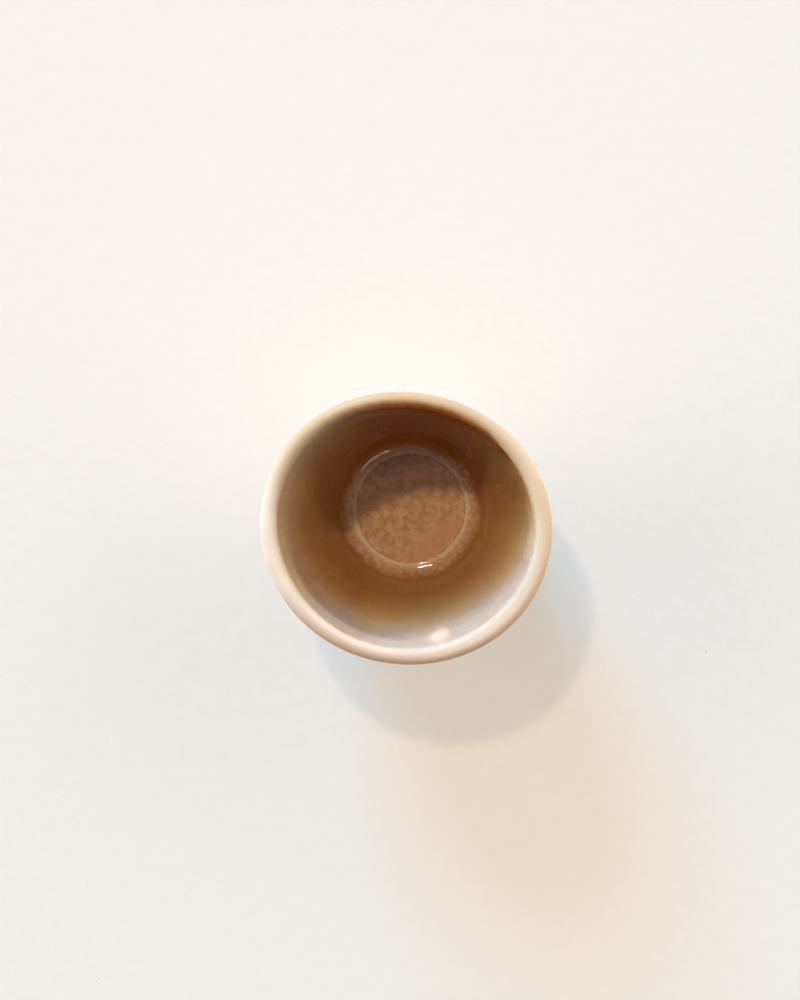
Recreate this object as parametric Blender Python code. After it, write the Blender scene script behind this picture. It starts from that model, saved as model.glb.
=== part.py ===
"""Handleless espresso cup in glazed stoneware, in metres, +Z up.

The cup stands on z = 0 with its axis on Z. Its wall is built up in layers, and every layer is an offset
of one master curve: the finished inside surface, from the edge of the flat floor up to the lip.
"""

import math

import bmesh
import bpy

# Overall form
HEIGHT = 0.058              # table to the top of the lip
RIM_RADIUS = 0.031          # mean outside radius of the mouth
FLOOR_RADIUS = 0.013        # flat disc at the bottom of the inside
CORNER_RADIUS = 0.0042      # round corner between that disc and the wall
WALL_FLARE_LOW = 15.0       # lean of the wall where it leaves the corner, in degrees
WALL_FLARE_TOP = 10.0       # lean of the wall under the lip, in degrees

# The mouth is not quite round, as on a cup thrown and handled by hand
OVAL = 0.036                # share by which the mouth is longer one way than the mean
OVAL_ANGLE = -6.0           # where it is longest, in degrees from +X
EGG = 0.007                 # share of the three-sided unevenness on top of that
EGG_ANGLE = 11.0            # where that is highest, in degrees from +X

# Layers of the wall, from the inside out: glaze, clay, glaze
GLAZE = 0.0005
FLOOR_CLAY = 0.0026         # clay thickness under the floor
LIP_CLAY = 0.0018           # clay thickness in the lip
LAYER_GAP = 0.0003          # clearance between neighbouring pieces

# Borders of the glaze coats, measured along the wall
POOL_WIDTH = 0.0037         # ring of pooled glaze in the corner
POOL_RISE = 0.0003          # how far that ring swells over the coat beside it
RIM_DROP = 0.0035           # rim coat, from the lip down each side
BARE_BAND = 0.0018          # clay left bare around the foot

# Foot ring
FOOT_HEIGHT = 0.0018        # table to the underside of the cup, less the clearance
FOOT_SPREAD = 0.0030        # how far the foot stands out past the flat floor
FOOT_WIDTH = 0.0036
FOOT_EDGE = 0.0004          # bevel of the edges it stands on

# Fineness of the facets
SEGMENTS = 48
CORNER_STEPS = 6
WALL_STEPS = 6
LIP_STEPS = 6
RING_STEPS = 5
RIM_STEPS = 2
FOOT_STEPS = 3
SMOOTH_ANGLE = 35.0         # faces that meet at less than this are shaded as one
WELD = 0.000001             # points closer than this are one point
HALVINGS = 40               # rounds of the search for a place on the curve

# Values that follow from the driving dimensions
FLOOR_TOP = FOOT_HEIGHT + LAYER_GAP + FLOOR_CLAY + LAYER_GAP + GLAZE
COAT = GLAZE + LAYER_GAP                     # finished surface to the clay
LIP_HALF = LIP_CLAY / 2 + COAT               # radius of the finished lip
LIP_CENTRE = (RIM_RADIUS - LIP_HALF, HEIGHT - LIP_HALF)
CORNER_CENTRE = (FLOOR_RADIUS, FLOOR_TOP + CORNER_RADIUS)
CORNER_SWEEP = math.radians(90.0 - WALL_FLARE_LOW)
CORNER_LENGTH = CORNER_RADIUS * CORNER_SWEEP
FOOT_RADIUS = FLOOR_RADIUS + FOOT_SPREAD

# Finish of each piece: colour as sRGB, roughness
FINISHES = {
    "stoneware_body": ((201, 176, 146), 0.85),
    "foot_ring": ((196, 169, 137), 0.85),
    "floor_glaze": ((158, 112, 72), 0.22),
    "pooled_glaze_ring": ((178, 139, 102), 0.18),
    "liner_glaze": ((140, 95, 55), 0.20),
    "rim_glaze": ((236, 213, 188), 0.28),
    "outer_glaze": ((232, 213, 190), 0.30),
}


def along(flare):
    """Direction up the wall for a lean given in degrees."""
    lean = math.radians(flare)
    return math.sin(lean), math.cos(lean)


def wall_ends():
    """Where the wall's stretch of the master curve starts and stops."""
    low_out, low_up = along(WALL_FLARE_LOW)
    top_out, top_up = along(WALL_FLARE_TOP)
    low = (CORNER_CENTRE[0] + CORNER_RADIUS * low_up, CORNER_CENTRE[1] - CORNER_RADIUS * low_out)
    top = (LIP_CENTRE[0] - LIP_HALF * top_up, LIP_CENTRE[1] + LIP_HALF * top_out)
    return low, top


WALL_LOW, WALL_TOP = wall_ends()
WALL_LENGTH = math.dist(WALL_LOW, WALL_TOP)
CURVE_LENGTH = CORNER_LENGTH + WALL_LENGTH


def master(distance):
    """Point of the master curve, its normal into the wall, and the clay thickness there."""
    if distance <= CORNER_LENGTH:
        turn = distance / CORNER_RADIUS - math.pi / 2
        normal = (math.cos(turn), math.sin(turn))
        point = (
            CORNER_CENTRE[0] + CORNER_RADIUS * normal[0],
            CORNER_CENTRE[1] + CORNER_RADIUS * normal[1],
        )
        return point, normal, FLOOR_CLAY
    t = (distance - CORNER_LENGTH) / WALL_LENGTH
    point, normal = wall_curve(t)
    return point, normal, FLOOR_CLAY + (LIP_CLAY - FLOOR_CLAY) * t


def wall_curve(t):
    """Point and normal at t, from 0 to 1, on the gently bowed wall."""
    reach = WALL_LENGTH / 3
    low_out, low_up = along(WALL_FLARE_LOW)
    top_out, top_up = along(WALL_FLARE_TOP)
    handles = (
        WALL_LOW,
        (WALL_LOW[0] + reach * low_out, WALL_LOW[1] + reach * low_up),
        (WALL_TOP[0] - reach * top_out, WALL_TOP[1] - reach * top_up),
        WALL_TOP,
    )
    s = 1 - t
    weights = (s ** 3, 3 * s * s * t, 3 * s * t * t, t ** 3)
    slopes = (-3 * s * s, 3 * s * s - 6 * s * t, 6 * s * t - 3 * t * t, 3 * t * t)
    point = tuple(sum(w * h[axis] for w, h in zip(weights, handles)) for axis in (0, 1))
    out, up = (sum(w * h[axis] for w, h in zip(slopes, handles)) for axis in (0, 1))
    speed = math.hypot(out, up)
    return point, (up / speed, -out / speed)


def layer_point(distance, layer, swell=0.0):
    """Point of a layer: inside, inside_back, clay_inside, clay_outside, outside_back or outside."""
    point, normal, clay = master(distance)
    depth = {
        "inside": 0.0,
        "inside_back": GLAZE,
        "clay_inside": COAT,
        "clay_outside": COAT + clay,
        "outside_back": COAT + clay + LAYER_GAP,
        "outside": COAT + clay + COAT,
    }[layer] - swell
    return point[0] + depth * normal[0], point[1] + depth * normal[1]


def steps(start, end, count):
    """Evenly spaced values from start to end."""
    return [start + (end - start) * i / count for i in range(count + 1)]


def layer_line(distances, layer):
    """Points of one layer at each distance along the master curve."""
    return [layer_point(d, layer) for d in distances]


def lip_arc(radius):
    """Half circle over the lip, from the inside to the outside, without its ends."""
    first = math.pi - math.radians(WALL_FLARE_TOP)
    turns = [first - math.pi * i / LIP_STEPS for i in range(1, LIP_STEPS)]
    return [(LIP_CENTRE[0] + radius * math.cos(a), LIP_CENTRE[1] + radius * math.sin(a)) for a in turns]


def body_distances():
    """Where the clay wall is sampled: the corner, then the wall."""
    return steps(0, CORNER_LENGTH, CORNER_STEPS) + steps(CORNER_LENGTH, CURVE_LENGTH, WALL_STEPS)[1:]


def coat_distances(start, end):
    """Where a coat on the wall is sampled: at its two borders, and with the clay between them."""
    inner = [d for d in body_distances() if start + LAYER_GAP < d < end - LAYER_GAP]
    return [start] + inner + [end]


def glaze_line():
    """Distance along the master curve at which the outside coat starts, above the bare band."""
    low, high = 0.0, CURVE_LENGTH
    for _ in range(HALVINGS):
        middle = (low + high) / 2
        if layer_point(middle, "outside_back")[0] < FOOT_RADIUS + BARE_BAND:
            low = middle
        else:
            high = middle
    return high


def out_of_round(x, y, z):
    """Factor on the radius: 1 up to the floor, and the mouth's full unevenness at the lip."""
    rise = min(max((z - FLOOR_TOP) / (HEIGHT - FLOOR_TOP), 0.0), 1.0)
    turn = math.atan2(y, x)
    oval = OVAL * math.cos(2 * (turn - math.radians(OVAL_ANGLE)))
    egg = EGG * math.cos(3 * (turn - math.radians(EGG_ANGLE)))
    return 1 + rise * (oval + egg)


def finish(name):
    """Material of a piece from its finish."""
    colour, roughness = FINISHES[name]
    material = bpy.data.materials.new(name)
    material.use_nodes = True
    shader = material.node_tree.nodes["Principled BSDF"]
    linear = [((c / 255 + 0.055) / 1.055) ** 2.4 for c in colour]
    shader.inputs["Base Color"].default_value = (*linear, 1.0)
    shader.inputs["Roughness"].default_value = roughness
    shader.inputs["Metallic"].default_value = 0.0
    return material


def turned(name, outline, closed, parent):
    """Turn an outline of (radius, height) points about Z into one named solid.

    A closed outline makes a ring. An open one starts and ends on the axis and makes a full solid.
    """
    bm = bmesh.new()
    verts = [bm.verts.new((radius, 0.0, height)) for radius, height in outline]
    pairs = list(zip(verts, verts[1:]))
    if closed:
        pairs.append((verts[-1], verts[0]))
    edges = [bm.edges.new(pair) for pair in pairs]
    bmesh.ops.spin(
        bm,
        geom=verts + edges,
        cent=(0.0, 0.0, 0.0),
        axis=(0.0, 0.0, 1.0),
        angle=math.tau,
        steps=SEGMENTS,
        use_merge=True,
    )
    bmesh.ops.remove_doubles(bm, verts=bm.verts[:], dist=WELD)
    for vert in bm.verts:
        factor = out_of_round(*vert.co)
        vert.co.x *= factor
        vert.co.y *= factor
    bmesh.ops.recalc_face_normals(bm, faces=bm.faces[:])
    mesh = bpy.data.meshes.new(name)
    bm.to_mesh(mesh)
    bm.free()
    mesh.shade_smooth()
    mesh.set_sharp_from_angle(angle=math.radians(SMOOTH_ANGLE))
    mesh.materials.append(finish(name))
    piece = bpy.data.objects.new(name, mesh)
    piece.parent = parent
    bpy.context.scene.collection.objects.link(piece)


def coat(name, distances, front, back, parent):
    """Glaze coat between two layers, over a stretch of the wall."""
    outline = layer_line(distances, front) + layer_line(distances, back)[::-1]
    turned(name, outline, True, parent)


def stoneware_body(parent):
    """Thrown clay: floor and wall in one, closed over the lip by a half circle."""
    distances = body_distances()
    inside = layer_line(distances, "clay_inside")
    outside = layer_line(distances, "clay_outside")[::-1]
    start = (0.0, inside[0][1])
    end = (0.0, outside[-1][1])
    turned("stoneware_body", [start] + inside + lip_arc(LIP_CLAY / 2) + outside + [end], False, parent)


def foot_ring(parent):
    """Ring that the cup stands on. Its top follows the underside of the clay at the clearance."""
    inner = FOOT_RADIUS - FOOT_WIDTH
    heel = CORNER_RADIUS + COAT + FLOOR_CLAY + LAYER_GAP
    top = []
    for radius in steps(FOOT_RADIUS, inner, FOOT_STEPS):
        past = max(radius - FLOOR_RADIUS, 0.0)
        top.append((radius, CORNER_CENTRE[1] - math.sqrt(heel ** 2 - past ** 2)))
    stand = [
        (inner, FOOT_EDGE),
        (inner + FOOT_EDGE, 0.0),
        (FOOT_RADIUS - FOOT_EDGE, 0.0),
        (FOOT_RADIUS, FOOT_EDGE),
    ]
    turned("foot_ring", stand + top, True, parent)


def floor_glaze(parent):
    """Disc of glaze on the flat floor, inside the pooled ring."""
    edge = FLOOR_RADIUS - LAYER_GAP
    outline = [(0.0, FLOOR_TOP), (edge, FLOOR_TOP), (edge, FLOOR_TOP - GLAZE), (0.0, FLOOR_TOP - GLAZE)]
    turned("floor_glaze", outline, False, parent)


def pooled_glaze_ring(parent):
    """Glaze run down into the corner: steep at the floor, thinning out up the wall."""
    distances = steps(0, POOL_WIDTH, RING_STEPS)
    front = []
    for distance in distances:
        swell = POOL_RISE * math.sin(math.pi * math.sqrt(distance / POOL_WIDTH))
        front.append(layer_point(distance, "inside", swell))
    turned("pooled_glaze_ring", front + layer_line(distances, "inside_back")[::-1], True, parent)


def liner_glaze(parent):
    """Coat on the inside wall, from the pooled ring to the rim coat."""
    start = POOL_WIDTH + LAYER_GAP
    end = CURVE_LENGTH - RIM_DROP - LAYER_GAP
    coat("liner_glaze", coat_distances(start, end), "inside", "inside_back", parent)


def rim_glaze(parent):
    """Coat folded over the lip, down both sides."""
    distances = steps(CURVE_LENGTH - RIM_DROP, CURVE_LENGTH, RIM_STEPS)
    front = layer_line(distances, "inside") + lip_arc(LIP_HALF) + layer_line(distances, "outside")[::-1]
    back = layer_line(distances, "outside_back") + lip_arc(LIP_HALF - GLAZE)[::-1]
    back += layer_line(distances, "inside_back")[::-1]
    turned("rim_glaze", front + back, True, parent)


def outer_glaze(parent):
    """Coat on the outside wall, from the rim coat to the bare band around the foot."""
    end = CURVE_LENGTH - RIM_DROP - LAYER_GAP
    coat("outer_glaze", coat_distances(glaze_line(), end), "outside", "outside_back", parent)


def main():
    for old in list(bpy.data.objects):
        bpy.data.objects.remove(old, do_unlink=True)
    cup = bpy.data.objects.new("espresso_cup", None)
    bpy.context.scene.collection.objects.link(cup)
    stoneware_body(cup)
    foot_ring(cup)
    floor_glaze(cup)
    pooled_glaze_ring(cup)
    liner_glaze(cup)
    rim_glaze(cup)
    outer_glaze(cup)


main()
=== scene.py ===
"""Looks of the handleless espresso cup: fine meshes, glazes, table, light and camera.

Everything is in metres in the frame of the solids: the cup stands on z = 0 with its axis on Z, and the
top of the photograph is towards +Y.
"""

import math

import bpy
from mathutils import Matrix, Vector, noise


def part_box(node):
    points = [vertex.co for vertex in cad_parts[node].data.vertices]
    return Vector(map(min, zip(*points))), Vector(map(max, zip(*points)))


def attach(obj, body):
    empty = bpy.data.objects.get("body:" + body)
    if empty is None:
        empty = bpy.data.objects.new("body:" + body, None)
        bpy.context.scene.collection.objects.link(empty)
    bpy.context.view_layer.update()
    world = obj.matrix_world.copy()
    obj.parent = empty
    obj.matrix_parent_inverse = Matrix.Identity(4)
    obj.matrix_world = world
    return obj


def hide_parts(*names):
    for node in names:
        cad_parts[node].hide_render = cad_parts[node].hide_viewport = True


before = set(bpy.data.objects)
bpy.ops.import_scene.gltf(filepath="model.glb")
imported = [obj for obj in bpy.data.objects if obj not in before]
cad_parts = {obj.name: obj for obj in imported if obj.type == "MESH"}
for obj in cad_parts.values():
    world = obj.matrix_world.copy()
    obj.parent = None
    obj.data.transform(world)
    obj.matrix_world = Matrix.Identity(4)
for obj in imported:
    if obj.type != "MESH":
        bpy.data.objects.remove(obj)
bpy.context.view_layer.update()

# Sizes of the solids, repeated here because the fine surface follows them
HEIGHT = 0.058
RIM_RADIUS = 0.031
CORNER_RADIUS = 0.0042
WALL_FLARE_LOW = math.radians(15.0)
WALL_FLARE_TOP = math.radians(10.0)
OVAL = 0.036
OVAL_ANGLE = math.radians(-6.0)
EGG = 0.007
EGG_ANGLE = math.radians(11.0)
LAYER_GAP = 0.0003
GLAZE = 0.0005
LIP_CLAY = 0.0018
FLOOR_CLAY = 0.0026
POOL_WIDTH = 0.0037
RIM_DROP = 0.0035
BARE_BAND = 0.0018
FOOT_WIDTH = 0.0036

# Sizes read from the solids
FLOOR_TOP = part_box("floor_glaze")[1].z
FLOOR_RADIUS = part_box("floor_glaze")[1].x + LAYER_GAP
FOOT_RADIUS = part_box("foot_ring")[1].x

# Values that follow
COAT = GLAZE + LAYER_GAP
COAT_CLEAR = 0.00004  # how far a coat's back stays off the clay
BACK = COAT - COAT_CLEAR  # depth of a coat's back
LIP_HALF = LIP_CLAY / 2 + COAT
LIP_LENGTH = math.pi * LIP_HALF
LIP_CENTRE = (RIM_RADIUS - LIP_HALF, HEIGHT - LIP_HALF)
CORNER_CENTRE = (FLOOR_RADIUS, FLOOR_TOP + CORNER_RADIUS)
CORNER_LENGTH = CORNER_RADIUS * (math.pi / 2 - WALL_FLARE_LOW)
HEEL_RADIUS = CORNER_RADIUS + COAT + FLOOR_CLAY

# Fineness of the meshes
SEGMENTS = 224
STEP = 0.00045  # spacing of the loops along the wall
FLOOR_STEP = 0.0004
POOL_STEP = 0.00018
BEAD_STEP = 0.00014  # at the lower edge of the outside coat
BEAD_REACH = 0.0022  # and how far up from it
TRIM_STEP = 0.0003  # under the foot
FOOT_STEP = 0.0002
FOOT_TURN = math.radians(12.0)  # around the worn edges of the foot
BODY_STRIDE = 4  # the hidden wall of the clay has wider steps
LIP_STEPS = 28
POLE = 0.0004  # radius of the last loop before the axis
BODY_POLE = 0.001  # and of the one that is hidden under the floor's glaze
SHARP_ANGLE = math.radians(50.0)
HALVINGS = 40  # of the search for the glaze line

MM = 1000.0  # the materials measure in millimetres
MICRONS = 1.0e6  # and relief in microns


def wall_ends():
    """Lower and upper end of the inside wall, as (radius, height)."""
    low = (
        CORNER_CENTRE[0] + CORNER_RADIUS * math.cos(WALL_FLARE_LOW),
        CORNER_CENTRE[1] - CORNER_RADIUS * math.sin(WALL_FLARE_LOW),
    )
    top = (
        LIP_CENTRE[0] - LIP_HALF * math.cos(WALL_FLARE_TOP),
        LIP_CENTRE[1] + LIP_HALF * math.sin(WALL_FLARE_TOP),
    )
    return low, top


WALL_LOW, WALL_TOP = wall_ends()
WALL_LENGTH = math.dist(WALL_LOW, WALL_TOP)
CURVE_LENGTH = CORNER_LENGTH + WALL_LENGTH
RIM_START = CURVE_LENGTH - RIM_DROP


def wall_curve(t):
    """Point and normal into the clay at t, from 0 to 1, on the gently bowed wall."""
    reach = WALL_LENGTH / 3
    handles = (
        WALL_LOW,
        (WALL_LOW[0] + reach * math.sin(WALL_FLARE_LOW), WALL_LOW[1] + reach * math.cos(WALL_FLARE_LOW)),
        (WALL_TOP[0] - reach * math.sin(WALL_FLARE_TOP), WALL_TOP[1] - reach * math.cos(WALL_FLARE_TOP)),
        WALL_TOP,
    )
    s = 1 - t
    weights = (s ** 3, 3 * s * s * t, 3 * s * t * t, t ** 3)
    slopes = (-3 * s * s, 3 * s * s - 6 * s * t, 6 * s * t - 3 * t * t, 3 * t * t)
    point = tuple(sum(w * h[axis] for w, h in zip(weights, handles)) for axis in (0, 1))
    out, up = (sum(w * h[axis] for w, h in zip(slopes, handles)) for axis in (0, 1))
    speed = math.hypot(out, up)
    return point, (up / speed, -out / speed)


def master(distance):
    """Inside surface at a distance from the floor's edge: point, normal into the clay, clay thickness.

    The distance is negative on the flat floor, then runs up the corner and the wall.
    """
    if distance <= 0:
        return (FLOOR_RADIUS + distance, FLOOR_TOP), (0.0, -1.0), FLOOR_CLAY
    if distance <= CORNER_LENGTH:
        turn = distance / CORNER_RADIUS - math.pi / 2
        normal = (math.cos(turn), math.sin(turn))
        point = tuple(CORNER_CENTRE[axis] + CORNER_RADIUS * normal[axis] for axis in (0, 1))
        return point, normal, FLOOR_CLAY
    t = (distance - CORNER_LENGTH) / WALL_LENGTH
    point, normal = wall_curve(t)
    return point, normal, FLOOR_CLAY + (LIP_CLAY - FLOOR_CLAY) * t


def inside(distance, depth):
    """Point at a depth under the finished inside surface."""
    point, normal, _ = master(distance)
    return point[0] + depth * normal[0], point[1] + depth * normal[1]


def outside(distance, depth):
    """Point at a depth under the finished outside surface."""
    _, _, clay = master(distance)
    return inside(distance, COAT + clay + COAT - depth)


def over_lip(share, depth):
    """Point at a depth under the lip, from its inside at share 0 to its outside at 1."""
    turn = math.pi - WALL_FLARE_TOP - math.pi * share
    radius = LIP_HALF - depth
    return LIP_CENTRE[0] + radius * math.cos(turn), LIP_CENTRE[1] + radius * math.sin(turn)


def smooth(low, high, value):
    """Smooth step from 0 at low to 1 at high."""
    t = min(max((value - low) / (high - low), 0.0), 1.0)
    return t * t * (3 - 2 * t)


def drift(turn, height, size, seed):
    """Slow noise around the cup, from about -1 to 1, with features of the given size in metres."""
    ring = RIM_RADIUS / size
    return noise.noise(Vector((ring * math.cos(turn), ring * math.sin(turn), height / size + seed)))


# Marks of the hand, in metres; a noise is the size of its features and its seed
LIP_WAVE = 0.00014  # rise and fall of the lip
LIP_NOISE = (0.016, 9.0)
LIP_FINE = 0.3  # share of a finer noise in it
LIP_FINE_NOISE = (0.005, 13.0)
WALL_WANDER = 0.0016  # share of the radius
WANDER_NOISE = (0.022, 5.0)
WALL_BOW = 0.0004  # how far the wall stands out two thirds of the way up
BOW_SCALE = 27 / 4  # x * x * (1 - x) is 4 / 27 there
SWELL = 0.009  # share of the radius by which the mouth swells on one side
SWELL_ANGLE = math.radians(-75.0)
LIP_ROLL = 0.00025  # how far the lip rolls outwards on the side of ROLL_ANGLE
ROLL_ANGLE = math.radians(190.0)
ROLL_SHARES = (0.4, 0.9)  # part of the way over the lip where the roll sets in
ROLL_DROP = 0.007  # the roll dies out this far down the outside
LIP_KNOB = 0.0008  # the lip rolls out more at one place
KNOB_ANGLE = math.radians(-45.0)
THROW_PITCH = 0.0046
THROW_INSIDE = 0.0000025
THROW_OUTSIDE = 0.00006
THROW_START = 0.004  # the ridges set in over this much of the wall
THROW_END = (0.006, 0.001)  # and die out between these distances from the lip
THROW_SWAY = 2.2  # how far a ridge sways, in radians of its wave
THROW_SWAY_SIZE = 0.026
THROW_MEAN = 0.65  # share of the full height that a ridge has
THROW_SPREAD = 0.9  # and how much that varies
THROW_SPREAD_SIZE = 0.018
THROW_SPREAD_SEED = 7
INSIDE_SEED = 3.0
OUTSIDE_SEED = 11.0
FLOOR_DISH = 0.00004
FLOOR_RIPPLE = 0.00001
FLOOR_RIPPLES = 4  # features over the floor's radius
POOL_RISE = 0.0003
POOL_SPREAD = 0.35
POOL_NOISE = (0.008, 21.0)
BEAD_WIDTH = 0.0009  # rounded lower edge of the outside coat
BEAD_RISE = 0.00012
BEAD_CREST = 1.3  # from the edge, in bead widths
BEAD_SPREAD = 0.7
LINE_WAVE = 0.0007  # unevenness of that edge
LINE_NOISE = (0.011, 31.0)
LINE_FINE = 0.4  # share of a finer noise in it
LINE_FINE_NOISE = (0.004, 33.0)
TRIM_PITCH = 0.0011  # turning marks under the foot
TRIM_DEPTH = 0.00005
TRIM_CENTRE = 0.002  # they set in over this radius


def hand_made(turn, radius, height):
    """Radius and height with the mouth out of round, the lip uneven and the wall wandering a little."""
    rise = min(max((height - FLOOR_TOP) / (HEIGHT - FLOOR_TOP), 0.0), 1.0)
    oval = OVAL * math.cos(2 * (turn - OVAL_ANGLE))
    egg = EGG * math.cos(3 * (turn - EGG_ANGLE))
    swell = SWELL * max(math.cos(turn - SWELL_ANGLE), 0.0) ** 4
    wander = WALL_WANDER * drift(turn, height, *WANDER_NOISE)
    wave = LIP_WAVE * (drift(turn, 0.0, *LIP_NOISE) + LIP_FINE * drift(turn, 0.0, *LIP_FINE_NOISE))
    bow = WALL_BOW * BOW_SCALE * rise ** 2 * (1 - rise)
    return radius * (1 + rise * (oval + egg + swell + wander)) + bow, height + wave * rise ** 3


def lip_roll(turn):
    """How far the lip stands out, in metres, at a turn."""
    wide = LIP_ROLL * (0.5 + 0.5 * math.cos(turn - ROLL_ANGLE))
    return wide + LIP_KNOB * max(math.cos(turn - KNOB_ANGLE), 0.0) ** 4


def throwing(turn, distance, depth, seed):
    """Finger ridges that spiral up a thrown wall, none at the corner and at the lip."""
    height = master(distance)[0][1]
    fade = smooth(CORNER_LENGTH, CORNER_LENGTH + THROW_START, distance)
    fade *= 1 - smooth(CURVE_LENGTH - THROW_END[0], CURVE_LENGTH - THROW_END[1], distance)
    sway = THROW_SWAY * drift(turn, height, THROW_SWAY_SIZE, seed)
    share = THROW_MEAN + THROW_SPREAD * drift(turn, height, THROW_SPREAD_SIZE, seed + THROW_SPREAD_SEED)
    return fade * depth * share * math.sin(math.tau * height / THROW_PITCH + turn + sway)


def liner_relief(turn, distance):
    return throwing(turn, distance, THROW_INSIDE, INSIDE_SEED)


def outer_relief(turn, distance):
    return throwing(turn, distance, THROW_OUTSIDE, OUTSIDE_SEED)


def floor_relief(turn, distance):
    """Shallow dish with slight ripples that die out at its edge."""
    share = 1 + distance / FLOOR_RADIUS
    place = Vector((share * math.cos(turn), share * math.sin(turn), 0.0)) * FLOOR_RIPPLES
    return FLOOR_DISH * (share ** 2 - 1) + FLOOR_RIPPLE * (1 - share ** 8) * noise.noise(place)


def pool_relief(turn, distance):
    """Swell of the pooled glaze: steep at the floor, thinning out up the wall."""
    share = min(max(distance / POOL_WIDTH, 0.0), 1.0)
    height = POOL_RISE * (1 + POOL_SPREAD * drift(turn, 0.0, *POOL_NOISE))
    return height * math.sin(math.pi * math.sqrt(share))


def trim_relief(turn, distance):
    """Fine spiral left by the turning tool on the underside."""
    radius = FLOOR_RADIUS + distance
    fade = smooth(0.0, TRIM_CENTRE, radius)
    return fade * TRIM_DEPTH * math.sin(math.tau * radius / TRIM_PITCH + turn)


def inner_row(distance, relief=None, depth=0.0):
    """Row of the inside: radius and height at a turn, the run up the surface and the relief on it."""
    def at(turn):
        lift = relief(turn, distance) if relief else 0.0
        return *inside(distance, depth - lift), MM * distance, lift
    return at


def lip_row(share, depth=0.0):
    """Row over the lip; only its finished surface rolls."""
    def at(turn):
        roll = 0.0 if depth else lip_roll(turn) * smooth(*ROLL_SHARES, share)
        return *over_lip(share, depth - roll), MM * (CURVE_LENGTH + LIP_LENGTH * share), 0.0
    return at


def outer_run(distance):
    """Run of a point on the outside, counted on over the lip, in millimetres."""
    return MM * (2 * CURVE_LENGTH + LIP_LENGTH - distance)


def outer_front(distance, turn, depth):
    """Outside surface with the lip's roll and the finger ridges, and the relief of these ridges."""
    lift = outer_relief(turn, distance)
    roll = lip_roll(turn) * smooth(CURVE_LENGTH - ROLL_DROP, CURVE_LENGTH, distance)
    return *outside(distance, depth - lift - roll), outer_run(distance), lift


def outer_row(distance, relief=None, depth=0.0):
    """Row of the outside, without the lip's roll and the finger ridges."""
    def at(turn):
        lift = relief(turn, distance) if relief else 0.0
        return *outside(distance, depth - lift), outer_run(distance), lift
    return at


def steps(start, end, spacing):
    """Values from start to end at about the given spacing."""
    count = max(2, math.ceil(abs(end - start) / spacing))
    return [start + (end - start) * i / count for i in range(count + 1)]


def loops_of(rows):
    """Loops of points around Z, with the run in millimetres and the relief in microns at each point."""
    points = []
    runs = []
    lifts = []
    for at in rows:
        for k in range(SEGMENTS):
            turn = math.tau * k / SEGMENTS
            radius, height, run, lift = at(turn)
            radius, height = hand_made(turn, radius, height)
            points.append((radius * math.cos(turn), radius * math.sin(turn), height))
            runs.append(run)
            lifts.append(lift * MICRONS)
    return points, runs, lifts


def band(a, b):
    """Faces between two loops, given by their numbers."""
    faces = []
    for k in range(SEGMENTS):
        n = (k + 1) % SEGMENTS
        faces.append((a * SEGMENTS + k, a * SEGMENTS + n, b * SEGMENTS + n, b * SEGMENTS + k))
    return faces


def cap(points, runs, lifts, first, flip):
    """Close a loop with a fan of faces to a point on the axis."""
    pole = len(points)
    points.append((0.0, 0.0, points[first][2]))
    runs.append(runs[first])
    lifts.append(lifts[first])
    faces = []
    for k in range(SEGMENTS):
        a, b = first + k, first + (k + 1) % SEGMENTS
        faces.append((b, a, pole) if flip else (a, b, pole))
    return faces


def solid(name, rows, ring):
    """Closed mesh through rows; a ring closes on itself, and any other piece ends on the axis."""
    points, runs, lifts = loops_of(rows)
    count = len(rows)
    faces = []
    for i in range(count - 1):
        faces += band(i, i + 1)
    if ring:
        faces += band(count - 1, 0)
    else:
        faces += cap(points, runs, lifts, 0, True)
        faces += cap(points, runs, lifts, (count - 1) * SEGMENTS, False)
    mesh = bpy.data.meshes.new(name)
    mesh.from_pydata(points, [], faces)
    mesh.attributes.new("run", "FLOAT", "POINT").data.foreach_set("value", runs)
    mesh.attributes.new("relief", "FLOAT", "POINT").data.foreach_set("value", lifts)
    mesh.shade_smooth()
    mesh.set_sharp_from_angle(angle=SHARP_ANGLE)
    piece = bpy.data.objects.new(name, mesh)
    bpy.context.scene.collection.objects.link(piece)
    return piece


def lip_shares():
    return [i / LIP_STEPS for i in range(1, LIP_STEPS)]


def inside_coat(name, distances, relief, ring):
    """Coat on the inside: its face with a relief, then its back."""
    rows = [inner_row(d, relief) for d in distances]
    rows += [inner_row(d, None, BACK) for d in reversed(distances)]
    return solid(name, rows, ring)


def make_floor():
    distances = steps(-FLOOR_RADIUS + POLE, 0.0, FLOOR_STEP)
    return inside_coat("floor_glaze_disc", distances, floor_relief, False)


def make_pool():
    return inside_coat("pooled_glaze_bead", steps(0.0, POOL_WIDTH, POOL_STEP), pool_relief, True)


def make_liner():
    return inside_coat("liner_glaze_coat", steps(POOL_WIDTH, RIM_START, STEP), liner_relief, True)


def make_rim():
    distances = steps(RIM_START, CURVE_LENGTH, STEP)
    rows = [inner_row(d, liner_relief) for d in distances]
    rows += [lip_row(s) for s in lip_shares()]
    rows += [lambda turn, d=d: outer_front(d, turn, 0.0) for d in reversed(distances)]
    rows += [outer_row(d, None, BACK) for d in distances]
    rows += [lip_row(s, BACK) for s in reversed(lip_shares())]
    rows += [inner_row(d, None, BACK) for d in reversed(distances)]
    return solid("rim_glaze_coat", rows, True)


def glaze_line():
    """Distance along the wall at which the outside coat starts, above the bare band."""
    low, high = 0.0, CURVE_LENGTH
    for _ in range(HALVINGS):
        middle = (low + high) / 2
        if outside(middle, GLAZE)[0] < FOOT_RADIUS + BARE_BAND:
            low = middle
        else:
            high = middle
    return high


GLAZE_LINE = glaze_line()


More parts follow.
